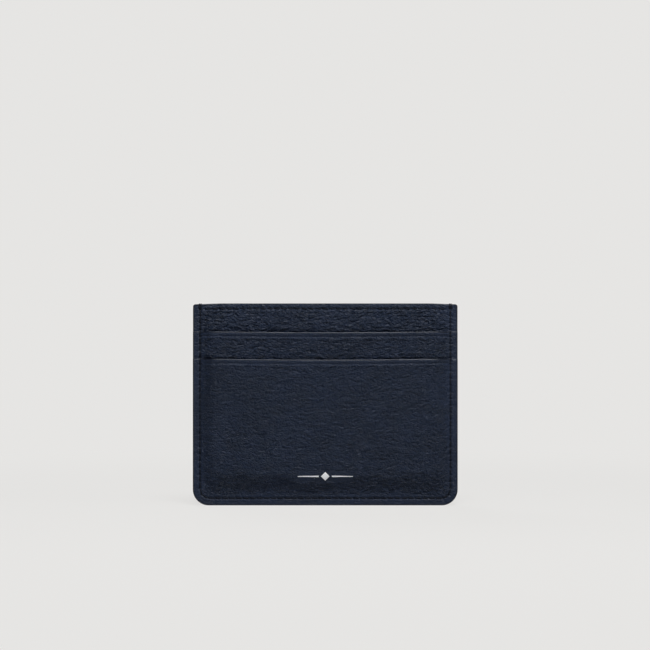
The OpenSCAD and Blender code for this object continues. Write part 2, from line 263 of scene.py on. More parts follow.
def hide_ridges(x, z, seed):
    """The grain of the hide at each point: wavy ridges with finer wrinkles, from -0.5 up to 0.5."""
    height = np.empty(len(x))
    for i, (px, pz) in enumerate(zip(x, z)):
        bend = noise.noise_vector(Vector((px / RIDGE_BEND_LENGTH, pz / RIDGE_BEND_LENGTH, seed)))
        spot = Vector((px / RIDGE_LENGTH + RIDGE_BEND * bend.x,
                       pz / RIDGE_SPACING + RIDGE_BEND * bend.y, seed))
        ridge = 1 - abs(noise.noise(spot)) / RIDGE_WIDTH
        wrinkle = 1 - abs(noise.noise(WRINKLE_FINER * spot + WRINKLE_SHIFT)) / RIDGE_WIDTH
        height[i] = max(ridge, WRINKLE_HEIGHT * wrinkle, 0) - 0.5
    return height


def grain_where(shows, x, z, seed, depth):
    """The ridges on the part of a face that shows, and 0 where another sheet hides it."""
    grain = np.zeros(len(x))
    visible = shows > 0
    grain[visible] = depth * hide_ridges(x[visible], z[visible], seed)
    return grain


def stitch_pull(x, z, holes):
    """How a row of stitches pulls the leather down at its holes and swells it beside each stitch."""
    height = 0 * x
    for a, b in zip(holes, holes[1:]):
        near = (np.abs(x - a[0]) < STITCH_PITCH) & (np.abs(z - a[1]) < STITCH_PITCH)
        past_hole = np.hypot(x[near] - a[0], z[near] - a[1])
        past_middle = np.hypot(x[near] - (a[0] + b[0]) / 2, z[near] - (a[1] + b[1]) / 2)
        height[near] += (SWELL_HEIGHT * hump(past_middle - SWELL_ASIDE, SWELL_WIDTH)
                         - HOLE_DEPTH * hump(past_hole, HOLE_WIDTH))
    return height


def perimeter_holes():
    """The stitch holes down one side, along the bottom and up the other side, as x, z."""
    turn_r = CORNER_R - SEAM_INSET
    bottom = half_w - CORNER_R
    turn = turn_r * math.pi / 2
    run = bottom + turn + top_seam_z - CORNER_R
    count = round(run / STITCH_PITCH)
    holes = []
    for i in range(-count, count + 1):
        s = abs(i) * run / count
        angle = min(max(s - bottom, 0) / turn_r, math.pi / 2)
        x = min(s, bottom) + turn_r * math.sin(angle)
        z = CORNER_R - turn_r * math.cos(angle) + max(s - bottom - turn, 0)
        holes.append((math.copysign(x, i), z))
    return holes


def row_holes(z):
    """The stitch holes of a straight row across a panel."""
    return [(x, z) for x in np.linspace(-ROW_HALF, ROW_HALF, round(2 * ROW_HALF / STITCH_PITCH) + 1)]


around_holes = perimeter_holes()


def margin_relief(x, z):
    """The pressed margin round every sheet: the groove of the perimeter seam, its stitches, the edge."""
    inward = edge_distance(x, z)
    height = stitch_pull(x, z, around_holes) - GROOVE_DEPTH * hump(inward - SEAM_INSET, GROOVE_WIDTH)
    height = height - EDGE_DIP * (1 - smooth((inward - EDGE_COAT_T) / EDGE_DIP_RUN))
    return height, 1 - smooth((inward - SEAM_MARGIN) / MARGIN_FADE)


def socket_node(tree, kind, inputs=None, **settings):
    """Adds a shader node with its settings, and links or sets its inputs by name or number."""
    made = tree.nodes.new(kind)
    for setting, value in settings.items():
        setattr(made, setting, value)
    for place, value in (inputs or {}).items():
        if isinstance(value, bpy.types.NodeSocket):
            tree.links.new(value, made.inputs[place])
        else:
            made.inputs[place].default_value = value
    return made


def mix_colour(tree, amount, first, second, blend_type="MIX"):
    """The colour between two others, or a colour worked on by another."""
    return socket_node(tree, "ShaderNodeMix", {0: amount, 6: first, 7: second},
                       data_type="RGBA", blend_type=blend_type).outputs[2]


def work_out(tree, operation, *terms):
    """One sum in a shader."""
    return socket_node(tree, "ShaderNodeMath", dict(enumerate(terms)), operation=operation).outputs[0]


def in_range(tree, value, low, high, to_low, to_high):
    """A value carried softly from one range to another."""
    inputs = {"Value": value, "From Min": low, "From Max": high, "To Min": to_low, "To Max": to_high}
    return socket_node(tree, "ShaderNodeMapRange", inputs, interpolation_type="SMOOTHSTEP").outputs[0]


def new_group(name, inputs, outputs):
    """An empty shader node group: its sockets, and its own input and output nodes."""
    tree = bpy.data.node_groups.new(name, "ShaderNodeTree")
    for socket_name, kind in inputs:
        tree.interface.new_socket(socket_name, in_out="INPUT", socket_type=kind)
    for socket_name, kind in outputs:
        tree.interface.new_socket(socket_name, in_out="OUTPUT", socket_type=kind)
    return tree, tree.nodes.new("NodeGroupInput").outputs, tree.nodes.new("NodeGroupOutput").inputs


def make_hide_grain():
    """The fine grain of the hide: small stretched cells with furrows between them, and pores."""
    tree, given, out = new_group(
        "hide_grain",
        [("Place", "NodeSocketVector"), ("Cells per mm", "NodeSocketFloat"), ("Pressed", "NodeSocketFloat")],
        [("Height", "NodeSocketFloat"), ("Furrows", "NodeSocketFloat"), ("Patches", "NodeSocketFloat")])
    bend = socket_node(tree, "ShaderNodeTexNoise", {"Vector": given["Place"], "Scale": 0.5, "Detail": 2})
    bent = socket_node(tree, "ShaderNodeVectorMath",
                       {0: bend.outputs["Color"], 1: (1.3, 1.3, 1.3), 2: given["Place"]},
                       operation="MULTIPLY_ADD")
    stretched = socket_node(tree, "ShaderNodeVectorMath", {0: bent.outputs[0], 1: (0.55, 1, 1)},
                            operation="MULTIPLY")
    cells = socket_node(tree, "ShaderNodeTexVoronoi",
                        {"Vector": stretched.outputs[0], "Scale": given["Cells per mm"]},
                        feature="DISTANCE_TO_EDGE")
    furrows = in_range(tree, cells.outputs["Distance"], 0.0, 0.22, 1, 0)
    pores = socket_node(tree, "ShaderNodeTexNoise", {"Vector": given["Place"], "Scale": 5, "Detail": 3})
    patches = socket_node(tree, "ShaderNodeTexNoise", {"Vector": given["Place"], "Scale": 0.12, "Detail": 3})
    open_grain = in_range(tree, given["Pressed"], 0, 1, 1, 0.3)
    cell_height = work_out(tree, "MULTIPLY", work_out(tree, "SUBTRACT", 1, furrows), open_grain)
    tree.links.new(work_out(tree, "MULTIPLY_ADD", pores.outputs[0], PORE_HEIGHT, cell_height), out["Height"])
    tree.links.new(work_out(tree, "MULTIPLY", furrows, open_grain), out["Furrows"])
    tree.links.new(patches.outputs[0], out["Patches"])
    return tree


def principled(name, **sockets):
    """A material with one Principled shader, and the values that are the same all over it."""
    material = bpy.data.materials.new(name)
    material.use_nodes = True
    shader = material.node_tree.nodes["Principled BSDF"]
    for socket_name, value in sockets.items():
        shader.inputs[socket_name.replace("_", " ")].default_value = value
    return material, material.node_tree, shader


def place_in_mm(tree):
    """Object coordinates in millimetres."""
    place = socket_node(tree, "ShaderNodeTexCoord").outputs["Object"]
    return socket_node(tree, "ShaderNodeVectorMath", {0: place, "Scale": 1 / MM},
                       operation="SCALE").outputs[0]


hide_grain = make_hide_grain()


def navy_leather(name, cells_per_mm, bump, roughness):
    """Grained navy leather with a satin finish: darker furrows, faint patches, smoother where pressed."""
    material, tree, shader = principled(name, Specular_IOR_Level=0.32)
    pressed = socket_node(tree, "ShaderNodeAttribute", attribute_name="pressed").outputs["Fac"]
    grain = socket_node(tree, "ShaderNodeGroup", node_tree=hide_grain)
    tree.links.new(place_in_mm(tree), grain.inputs["Place"])
    tree.links.new(pressed, grain.inputs["Pressed"])
    grain.inputs["Cells per mm"].default_value = cells_per_mm
    patches = in_range(tree, grain.outputs["Patches"], 0.35, 0.65, 0, 1)
    colour = mix_colour(tree, patches, NAVY_DEEP, NAVY_LIGHT)
    # The furrows darken the base colour towards NAVY_DEEP: painted shade in the recesses of the grain.
    shade = work_out(tree, "MULTIPLY", grain.outputs["Furrows"], FURROW_SHADE)
    tree.links.new(mix_colour(tree, shade, colour, NAVY_DEEP), shader.inputs["Base Color"])
    patch_rough = in_range(tree, grain.outputs["Patches"], 0.3, 0.7,
                           roughness - PATCH_ROUGHNESS, roughness + PATCH_ROUGHNESS)
    rough = work_out(tree, "MULTIPLY_ADD", grain.outputs["Furrows"], FURROW_ROUGHNESS, patch_rough)
    tree.links.new(rough, shader.inputs["Roughness"])
    dent = socket_node(tree, "ShaderNodeBump", {"Height": grain.outputs["Height"], "Strength": bump,
                                                "Distance": GRAIN_DEPTH * MM})
    tree.links.new(dent.outputs[0], shader.inputs["Normal"])
    return material


panel_hide = navy_leather("panel_hide", 1.0, 1.0, 0.5)


def between_seams(x):
    """0 in the margins of the side seams and 1 between them."""
    return smooth((half_w - SEAM_MARGIN - np.abs(x)) / SEAM_FADE)


def sag(x):
    """How far a pocket mouth droops between the side seams."""
    return MOUTH_SAG * smooth((half_w - SEAM_MARGIN - np.abs(x)) / SAG_RUN)


def bow(bm):
    """Lets the top of a panel bow up a little between the side seams, where nothing holds it down."""
    x, z = np.array([(v.co.x, v.co.z) for v in bm.verts]).T
    lifts = smooth((half_w - np.abs(x)) / BOW_RUN) * smooth((z - upper_mouth_z) / BOW_HEIGHT)
    for v, lift in zip(bm.verts, lifts):
        v.co.z += TOP_BOW * lift
    return bm


def slot_shadow(x, z, mouth_z):
    """The leather behind a pocket's mouth, rubbed hollow where cards go in and out."""
    return -SLOT_HOLLOW * hump(z - mouth_z + sag(x) + SLOT_BELOW, SLOT_WIDTH) * between_seams(x)


def panel_relief(seed):
    """The panel's face: grain where it shows above the upper pocket, the top seam and the margins."""
    def relief(x, z):
        margin, flat = margin_relief(x, z)
        shows = smooth(z - upper_mouth_z + GRAIN_OVERLAP)
        groove = GROOVE_DEPTH * hump(z - top_seam_z, GROOVE_WIDTH) * np.clip(ROW_HALF + 1 - np.abs(x), 0, 1)
        row = stitch_pull(x, z, row_holes(top_seam_z)) - groove
        lip = -EDGE_DIP * (1 - smooth((holder_h - EDGE_COAT_T - z) / EDGE_DIP_RUN))
        flat = np.maximum(flat, 0.7 * smooth((z - top_seam_z + 1.4) / 1.2))
        grain = grain_where(shows, x, z, seed, PANEL_GRAIN)
        slot = slot_shadow(x, z, upper_mouth_z)
        return (margin + row + lip) * shows + slot + grain * shows * (1 - PANEL_PRESSING * flat), flat
    return relief


sheet_xs = lines((-half_w + EDGE_COAT_T, 0.25), (half_w - EDGE_COAT_T, 0))
panel_zs = lines((EDGE_COAT_T, 0.6), (8, 2.5), (upper_mouth_z - 2, 0.2), (holder_h - EDGE_COAT_T, 0))
for half, side, seed in (("front", -1, 11), ("rear", 1, 23)):
    panel = cut_sheet(side, sheet_xs, panel_zs,
                      lambda x, z: LINING_T + STIFFENER_T + panel_stand(x, z),
                      lambda x, z: panel_y + panel_stand(x, z),
                      panel_relief(seed), TOP_CORNER_R - EDGE_COAT_T)
    fit(f"leather_{half}_panel", bow(panel), panel_hide, [f"{half}_panel_leather"])

# ---- panels: stiffener ------------------------------------------------------------------------------
# A thin fibre board glued behind each panel leather, so that the holder stands up by itself. Nothing
# of it shows once the edges are painted.
BOARD_LIGHT = (0.36, 0.31, 0.24, 1)
BOARD_DARK = (0.22, 0.185, 0.14, 1)

fibre_board, tree, shader = principled("fibre_board", Roughness=0.9)
fibres = socket_node(tree, "ShaderNodeTexNoise", {"Vector": place_in_mm(tree), "Scale": 2.5, "Detail": 8,
                                                  "Distortion": 1.5})
tree.links.new(mix_colour(tree, fibres.outputs[0], BOARD_LIGHT, BOARD_DARK), shader.inputs["Base Color"])
felt = socket_node(tree, "ShaderNodeBump", {"Height": fibres.outputs[0], "Distance": 0.03 * MM})
tree.links.new(felt.outputs[0], shader.inputs["Normal"])

plain_xs = lines((-half_w + EDGE_COAT_T, 0.65), (-40, 4), (40, 0.65), (half_w - EDGE_COAT_T, 0))
plain_panel_zs = lines((EDGE_COAT_T, 0.65), (9, 3), (holder_h - EDGE_COAT_T, 0))
for half, side in (("front", -1), ("rear", 1)):
    board = cut_sheet(side, plain_xs, plain_panel_zs,
                      lambda x, z: LINING_T + panel_stand(x, z),
                      lambda x, z: LINING_T + STIFFENER_T + panel_stand(x, z),
                      top_r=TOP_CORNER_R - EDGE_COAT_T)
    fit(f"stiffener_{half}_panel", board, fibre_board, [f"{half}_panel_stiffener"])

# ---- panels: lining ---------------------------------------------------------------------------------
# A tight plain-weave navy textile, glued on the inside of each panel, so that it lines the middle
# compartment. It is cut to the panel's own outline and its edge is sealed by the paint.
THREADS_PER_MM = 5.0
WEAVE_DARK = (0.005, 0.007, 0.013, 1)
WEAVE_LIGHT = (0.02, 0.025, 0.042, 1)


def make_plain_weave():
    """A plain weave seen square on: warp and weft pass over each other in turn."""
    tree, given, out = new_group(
        "plain_weave", [("Place", "NodeSocketVector"), ("Threads per mm", "NodeSocketFloat")],
        [("Height", "NodeSocketFloat"), ("Gaps", "NodeSocketFloat")])
    apart = socket_node(tree, "ShaderNodeSeparateXYZ", {0: given["Place"]}).outputs
    waves = []
    for axis in ("X", "Z"):
        turns = work_out(tree, "MULTIPLY", work_out(tree, "MULTIPLY", apart[axis], given["Threads per mm"]),
                         math.pi)
        waves.append(work_out(tree, "SINE", turns))
    crossing = work_out(tree, "MULTIPLY", waves[0], waves[1])
    ribs = work_out(tree, "ABSOLUTE", crossing)
    tree.links.new(work_out(tree, "ADD", crossing, ribs), out["Height"])
    tree.links.new(in_range(tree, ribs, 0, 0.35, 1, 0), out["Gaps"])
    return tree


plain_weave = make_plain_weave()
lining_cloth, tree, shader = principled("lining_cloth", Roughness=0.85, Sheen_Weight=0.2)
weave = socket_node(tree, "ShaderNodeGroup", node_tree=plain_weave)
weave.inputs["Threads per mm"].default_value = THREADS_PER_MM
tree.links.new(place_in_mm(tree), weave.inputs["Place"])
tree.links.new(mix_colour(tree, weave.outputs["Gaps"], WEAVE_LIGHT, WEAVE_DARK), shader.inputs["Base Color"])
ribbing = socket_node(tree, "ShaderNodeBump", {"Height": weave.outputs["Height"], "Distance": 0.04 * MM})
tree.links.new(ribbing.outputs[0], shader.inputs["Normal"])


def line_with(name, cloth, nodes):
    """Fits a lining: a cloth stretched flat over the leather or board that it is glued to."""
    lining = fit(name, cloth, lining_cloth, nodes)


for half, side in (("front", -1), ("rear", 1)):
    cloth = cut_sheet(side, plain_xs, plain_panel_zs,
                      panel_stand,
                      lambda x, z: LINING_T + panel_stand(x, z),
                      top_r=TOP_CORNER_R - EDGE_COAT_T)
    line_with(f"lining_{half}_panel", cloth, [f"{half}_panel_lining"])

# ---- panels: painted top edges ----------------------------------------------------------------------
# The cut top edge of each panel is sanded round and filled with several coats of nearly black paint,
# which laps a little over both faces as a smooth bead.
LAP = 0.42
BEAD_PROUD = 0.05
PANEL_EDGE_R = 0.3
PAINT_NAVY = (0.003, 0.005, 0.013, 1)
PAINT_SCUFFED = (0.008, 0.013, 0.026, 1)

painted_edge, tree, shader = principled("painted_edge", Specular_IOR_Level=0.5,
                                        Specular_Tint=(0.82, 0.88, 1, 1))
place = place_in_mm(tree)
coats = socket_node(tree, "ShaderNodeTexNoise", {"Vector": place, "Scale": 0.9, "Detail": 4})
pits = socket_node(tree, "ShaderNodeTexNoise", {"Vector": place, "Scale": 7, "Detail": 2})
scuffs = in_range(tree, coats.outputs[0], 0.55, 0.75, 0, 1)
tree.links.new(mix_colour(tree, scuffs, PAINT_NAVY, PAINT_SCUFFED), shader.inputs["Base Color"])
tree.links.new(in_range(tree, coats.outputs[0], 0.3, 0.7, 0.34, 0.48), shader.inputs["Roughness"])
settled = socket_node(tree, "ShaderNodeBump", {"Height": pits.outputs[0], "Strength": 0.35,
                                               "Distance": 0.03 * MM})
tree.links.new(settled.outputs[0], shader.inputs["Normal"])


def grid_tube(bm, stations, around, place):
    """A tube with closed ends: place(s, a) gives x, y and z at station s along it, step a around it."""
    made = bmesh.ops.create_grid(bm, x_segments=around, y_segments=stations - 1, size=0.5)["verts"]
    a = np.array([round((v.co.x + 0.5) * around) % around for v in made])
    s = np.array([round((v.co.y + 0.5) * (stations - 1)) for v in made])
    for v, vx, vy, vz in zip(made, *place(s, a)):
        v.co = (vx, vy, vz)
    bmesh.ops.remove_doubles(bm, verts=made, dist=TINY)
    open_ends = [e for v in made if v.is_valid for e in v.link_edges if e.is_boundary]
    bmesh.ops.holes_fill(bm, edges=list(set(open_ends)), sides=0)


def bead_profile(round_r, lap):
    """Half of a bead's cross-section: how far in from the outline, and how far behind the face."""
    lip = [(lap, 0.04), (lap - 0.05, -0.03), (0.66 * lap, -BEAD_PROUD)]
    turn = [(round_r * (1 - math.sin(t)), round_r * (1 - math.cos(t)) - BEAD_PROUD * math.cos(t))
            for t in np.linspace(0, math.pi / 2, 6)]
    return lip + turn


def paint_edge(x, z, in_x, in_z, front_y, back_y, round_r):
    """A bead of paint along an edge that runs through x, z. in_x, in_z point into the sheet."""
    half_profile = bead_profile(round_r, LAP)
    under = [(LAP - 0.06, 0.1), (EDGE_COAT_T, 0.1)]
    inward, behind, from_front = [np.array(c) for c in zip(
        *[(i, b, 1) for i, b in half_profile], *[(i, b, 0) for i, b in reversed(half_profile)],
        *[(i, b, 0) for i, b in under], *[(i, b, 1) for i, b in reversed(under)])]
    bm = bmesh.new()

    def place(s, a):
        y = np.where(from_front[a] == 1, front_y[s] + behind[a], back_y[s] - behind[a])
        return x[s] + in_x[s] * inward[a], y, z[s] + in_z[s] * inward[a]

    grid_tube(bm, len(x), len(inward), place)
    bmesh.ops.recalc_face_normals(bm, faces=bm.faces)
    return bm


def top_path():
    """The top edge of a panel with its two small corners, and the way into the panel all along it."""
    turn = np.linspace(0, math.pi / 2, 7)
    run = lines((-half_w + TOP_CORNER_R, 0.8), (half_w - TOP_CORNER_R, 0))
    corner_x, corner_z = half_w - TOP_CORNER_R, holder_h - TOP_CORNER_R
    in_x = np.concatenate([np.cos(turn), 0 * run[1:-1], -np.cos(turn[::-1])])
    in_z = np.concatenate([-np.sin(turn), 0 * run[1:-1] - 1, -np.sin(turn[::-1])])
    x = np.concatenate([0 * turn - corner_x, run[1:-1], 0 * turn + corner_x]) - TOP_CORNER_R * in_x
    z = corner_z - TOP_CORNER_R * in_z
    return x, z, in_x, in_z


def front_and_back(side, inner, outer):
    """The y of the two faces of a sheet, the front one first, from their distances."""
    return (side * outer, side * inner) if side < 0 else (side * inner, side * outer)


for half, side in (("front", -1), ("rear", 1)):
    x, z, in_x, in_z = top_path()
    stand = panel_stand(x, z)
    bead = paint_edge(x, z, in_x, in_z, *front_and_back(side, stand, panel_y + stand), PANEL_EDGE_R)
    fit(f"edge_paint_{half}_panel", bow(bead), painted_edge, [f"{half}_panel_edge_coat"])

# ---- panels: top seams ------------------------------------------------------------------------------
# A bonded two-ply navy thread is sewn along the top of each panel on a lockstitch machine: the needle
# thread shows on the leather and the bobbin thread on the lining. Every stitch lies a little aslant and
# dips into the leather at both ends.
THREAD_HALF_W = 0.32
THREAD_HALF_T = 0.15
STITCH_SLANT = 0.14
STITCH_STEPS = 8
STITCH_LENGTH = 0.97
STITCH_SINK = 0.42
STITCH_PRESS = 0.02
END_THINNING = 0.35
THREAD_SIDES = 6
PLY_TURNS = 1.25
PLY_BULGE = 0.16
THREAD_DARK = (0.001, 0.002, 0.005, 1)
THREAD_LIGHT = (0.004, 0.007, 0.016, 1)

twisted_thread, tree, shader = principled("twisted_thread", Specular_IOR_Level=0.2)
place = place_in_mm(tree)
plies = socket_node(tree, "ShaderNodeTexWave", {"Vector": place, "Scale": 1.4, "Distortion": 0.6,
                                                "Detail": 2}, bands_direction="DIAGONAL")
tree.links.new(mix_colour(tree, plies.outputs["Fac"], THREAD_DARK, THREAD_LIGHT), shader.inputs["Base Color"])
tree.links.new(in_range(tree, plies.outputs["Fac"], 0, 1, 0.8, 0.6), shader.inputs["Roughness"])
strands = socket_node(tree, "ShaderNodeBump", {"Height": plies.outputs["Fac"], "Distance": 0.05 * MM})
tree.links.new(strands.outputs[0], shader.inputs["Normal"])


def sew(side, holes, face, facing=1):
    """A row of stitches on a face, each from one hole to the next. facing is -1 on an inner face."""
    bm = bmesh.new()
    for start, end in zip(holes, holes[1:]):
        middle = np.add(start, end) / 2
        way = np.subtract(end, start)
        length = np.hypot(*way)
        way = way / length

        def place(s, a):
            along = s / STITCH_STEPS - 0.5
            turn = 2 * math.pi * (a / THREAD_SIDES)
            lobe = 1 + PLY_BULGE * np.cos(2 * (turn - math.pi * PLY_TURNS * s / STITCH_STEPS))
            thin = 1 - END_THINNING * (2 * np.abs(along)) ** 6
            across = THREAD_HALF_W * lobe * np.cos(turn) * thin - STITCH_SLANT * 2 * along
            height = THREAD_HALF_T * lobe * np.sin(turn) * thin - STITCH_SINK * (2 * np.abs(along)) ** 5
            x = middle[0] + way[0] * along * length * STITCH_LENGTH
            z = middle[1] + way[1] * along * length * STITCH_LENGTH
            y = side * (face(x, z) + facing * (height - STITCH_PRESS))
            return x - way[1] * across, y, z + way[0] * across

        grid_tube(bm, STITCH_STEPS + 1, THREAD_SIDES, place)
    bmesh.ops.recalc_face_normals(bm, faces=bm.faces)
    return bm


for half, side in (("front", -1), ("rear", 1)):
    stitches = sew(side, row_holes(top_seam_z), lambda x, z: panel_y + panel_stand(x, z))
    fit(f"stitching_{half}_top_needle", bow(stitches), twisted_thread,
        [f"{half}_top_seam_needle_thread"])
    stitches = sew(side, row_holes(top_seam_z), panel_stand, -1)
    fit(f"stitching_{half}_top_bobbin", bow(stitches), twisted_thread,
        [f"{half}_top_seam_bobbin_thread"])

# ---- upper pockets: leather -------------------------------------------------------------------------
# The upper card pocket on each face: the same hide, with a crease line pressed by a hot tool just below
# its mouth. Below the stop seam, which keeps a card from dropping in, it lies tight on the panel.
UPPER_LEATHER_T = 0.5
STOP_SEAM_Z = 13.05
STOP_SLOPE_START = 0.65
STOP_SLOPE_RUN = 3.4
CREASE_INSET = 1.8
CREASE_DEPTH = 0.18
CREASE_WIDTH = 0.4
LIP_HEIGHT = 0.15
LIP_WIDTH = 0.42
LIP_INSET = 0.75
BAND_LIFT = 0.26
PAINT_DIP = 0.2
PAINT_DIP_RUN = 0.8
UPPER_GRAIN = 0.4
UPPER_PRESS = 1.0
POCKET_PRESSING = 0.8

upper_y = panel_y + LINING_T + UPPER_LEATHER_T
upper_rise = -box_mm("front_upper_pocket_leather")[0].y - upper_y
upper_hide = navy_leather("upper_pocket_hide", 1.1, 1.0, 0.5)


def upper_stand(x, z):
    """How far an upper pocket stands off its sewn place: less below the stop seam than above it."""
    opened = smooth((z - STOP_SEAM_Z - STOP_SLOPE_START) / STOP_SLOPE_RUN)
    return (panel_rise + (upper_rise - panel_rise) * opened) * crown(x, z)


def mouth_relief(x, z, mouth_z, press):
    """The band between a pocket's mouth and its crease line, the crease, and the lip below it.

    press is how hard the creasing tool pressed, which varies a little along the line.
    """
    below = mouth_z - z
    inside = between_seams(x)
    band = BAND_LIFT * (1 - smooth(below / CREASE_INSET))
    firm = np.array([0.9 + 0.5 * noise.noise(Vector((vx / 5, mouth_z, 0))) for vx in x]) * press
    crease = -CREASE_DEPTH * firm * hump(below - CREASE_INSET, CREASE_WIDTH)
    lip = LIP_HEIGHT * firm * hump(below - CREASE_INSET - LIP_INSET, LIP_WIDTH)
    under_paint = -PAINT_DIP * (1 - smooth((below - EDGE_COAT_T) / PAINT_DIP_RUN))
    flat = 1 - smooth((below - CREASE_INSET + 0.1) / 0.8)
    return (band + crease + lip) * inside + under_paint, flat * (0.6 + 0.4 * inside)


def pocket_relief(seed, mouth_z, shows_from, grain_height, press, flattened=None):
    """A pocket's face: grain where it shows, the margins, the crease line and the mouth.

    It shows above height shows_from, the mouth of the pocket in front, or 0. flattened is a field
    without grain.
    """
    def relief(x, z):
        margin, flat = margin_relief(x, z)
        mouth, mouth_flat = mouth_relief(x, z, mouth_z, press)
        flat = np.maximum(flat, mouth_flat)
        shows = smooth(z - shows_from + GRAIN_OVERLAP)
        mouth = mouth + (slot_shadow(x, z, shows_from) if shows_from else 0)
        grain = grain_where(shows, x, z, seed, grain_height)
        if flattened:
            grain = grain * (1 - flattened(x, z))
            flat = np.maximum(flat, flattened(x, z))
        return (margin + mouth) * shows + grain * shows * (1 - POCKET_PRESSING * flat), flat
    return relief


def droop(bm, mouth_z):
    """Lets a pocket's mouth sag: the whole of the top few millimetres moves down in the middle."""
    x, z = np.array([(v.co.x, v.co.z) for v in bm.verts]).T
    for v, drop in zip(bm.verts, sag(x) * smooth((z - mouth_z + 8) / 5)):
        v.co.z -= drop
    return bm


upper_zs = lines((EDGE_COAT_T, 0.6), (8, 2.5), (STOP_SEAM_Z, 0.7), (STOP_SEAM_Z + 4.2, 2.5),
                 (pocket_mouth_z - 2, 0.2), (upper_mouth_z - 2.8, 0.11), (upper_mouth_z - EDGE_COAT_T, 0))
for half, side, seed in (("front", -1, 37), ("rear", 1, 41)):
    pocket = cut_sheet(side, sheet_xs, upper_zs,
                       lambda x, z: upper_y - UPPER_LEATHER_T + upper_stand(x, z),
                       lambda x, z: upper_y + upper_stand(x, z),
                       pocket_relief(seed, upper_mouth_z, pocket_mouth_z, UPPER_GRAIN, UPPER_PRESS))
    fit(f"leather_{half}_upper_pocket", droop(pocket, upper_mouth_z), upper_hide,
        [f"{half}_upper_pocket_leather"])

# ---- upper pockets: lining --------------------------------------------------------------------------
# The same textile, cut to the pocket's outline and glued behind its leather, so that a card slides in
# on cloth.
plain_upper_zs = lines((EDGE_COAT_T, 0.65), (9, 2), (STOP_SEAM_Z, 0.7), (STOP_SEAM_Z + 4.2, 3),
                       (upper_mouth_z - 8, 1), (upper_mouth_z - EDGE_COAT_T, 0))
for half, side in (("front", -1), ("rear", 1)):
    cloth = cut_sheet(side, plain_xs, plain_upper_zs,
                      lambda x, z: panel_y + upper_stand(x, z),
                      lambda x, z: panel_y + LINING_T + upper_stand(x, z))
    line_with(f"lining_{half}_upper_pocket", droop(cloth, upper_mouth_z),
              [f"{half}_upper_pocket_lining"])

# ---- upper pockets: painted mouths ------------------------------------------------------------------
# The cut edge of the pocket mouth, painted and polished before the pocket is sewn on. It catches the
# light from above along its whole length.
MOUTH_EDGE_R = 0.32
MOUTH_SETBACK = 0.14


def paint_mouth(side, mouth_z, inner_y, outer_y, stand):
    """The bead of paint along a pocket's mouth, from one side edge to the other."""
    x = lines((-half_w + 0.05, 0.6), (half_w - 0.05, 0))
    z = mouth_z - sag(x)
    open_by = stand(x, 0 * x + mouth_z)
    outer = outer_y + open_by + BAND_LIFT * between_seams(x) - MOUTH_SETBACK
    return paint_edge(x, z, 0 * x, 0 * x - 1, *front_and_back(side, inner_y + open_by, outer), MOUTH_EDGE_R)


for half, side in (("front", -1), ("rear", 1)):
    bead = paint_mouth(side, upper_mouth_z, panel_y, upper_y, upper_stand)
    fit(f"edge_paint_{half}_upper_pocket", bead, painted_edge,
        [f"{half}_upper_pocket_edge_coat"])

# ---- upper pockets: stop seams ----------------------------------------------------------------------
# A straight row of stitches across each panel, hidden behind the front pocket, that a card in the upper
# pocket comes to rest on.
for half, side in (("front", -1), ("rear", 1)):
    holes = row_holes(STOP_SEAM_Z)
    stitches = sew(side, holes, lambda x, z: upper_y + upper_stand(x, z))
    fit(f"stitching_{half}_stop_needle", stitches, twisted_thread,
        [f"{half}_stop_seam_needle_thread"])
    stitches = sew(side, holes, panel_stand, -1)
    fit(f"stitching_{half}_stop_bobbin", stitches, twisted_thread,
        [f"{half}_stop_seam_bobbin_thread"])

# ---- front pockets: leather -------------------------------------------------------------------------
# The outermost pocket on each face, and the largest piece of leather that shows. It has the same crease
# line below its mouth, and a small smooth field where the foil mark is stamped in front.
POCKET_LEATHER_T = 0.55
POCKET_GRAIN = 0.4
POCKET_PRESS = 0.7
FIELD_FADE = 0.9

pocket_y = upper_y + LINING_T + POCKET_LEATHER_T
pocket_rise = -box_mm("front_pocket_leather")[0].y - pocket_y
foil_low, foil_high = box_mm("foil_mark")
foil_z = (foil_low.z + foil_high.z) / 2
pocket_hide = navy_leather("pocket_hide", 1.25, 0.9, 0.52)


def pocket_stand(x, z):
    """How far a front pocket stands off its sewn place."""
    return pocket_rise * crown(x, z)


def stamped(x, z):
    """The field that the hot stamp pressed flat round the foil mark."""
    beyond_x = np.clip(np.abs(x) - foil_high.x, 0, None)
    beyond_z = np.clip(np.abs(z - foil_z) - (foil_high.z - foil_low.z) / 2, 0, None)
    return 1 - smooth(np.hypot(beyond_x, beyond_z) / FIELD_FADE)


pocket_xs = lines((-half_w + EDGE_COAT_T, 0.3), (half_w - EDGE_COAT_T, 0))
pocket_zs = lines((EDGE_COAT_T, 0.22), (5, 0.28), (pocket_mouth_z - 2.8, 0.11),
                  (pocket_mouth_z - EDGE_COAT_T, 0))
for half, side, seed, field in (("front", -1, 53, stamped), ("rear", 1, 67, None)):
    pocket = cut_sheet(side, pocket_xs, pocket_zs,
                       lambda x, z: pocket_y - POCKET_LEATHER_T + pocket_stand(x, z),
                       lambda x, z: pocket_y + pocket_stand(x, z),
                       pocket_relief(seed, pocket_mouth_z, 0, POCKET_GRAIN, POCKET_PRESS, field))
    fit(f"leather_{half}_pocket", droop(pocket, pocket_mouth_z), pocket_hide,
        [f"{half}_pocket_leather"])

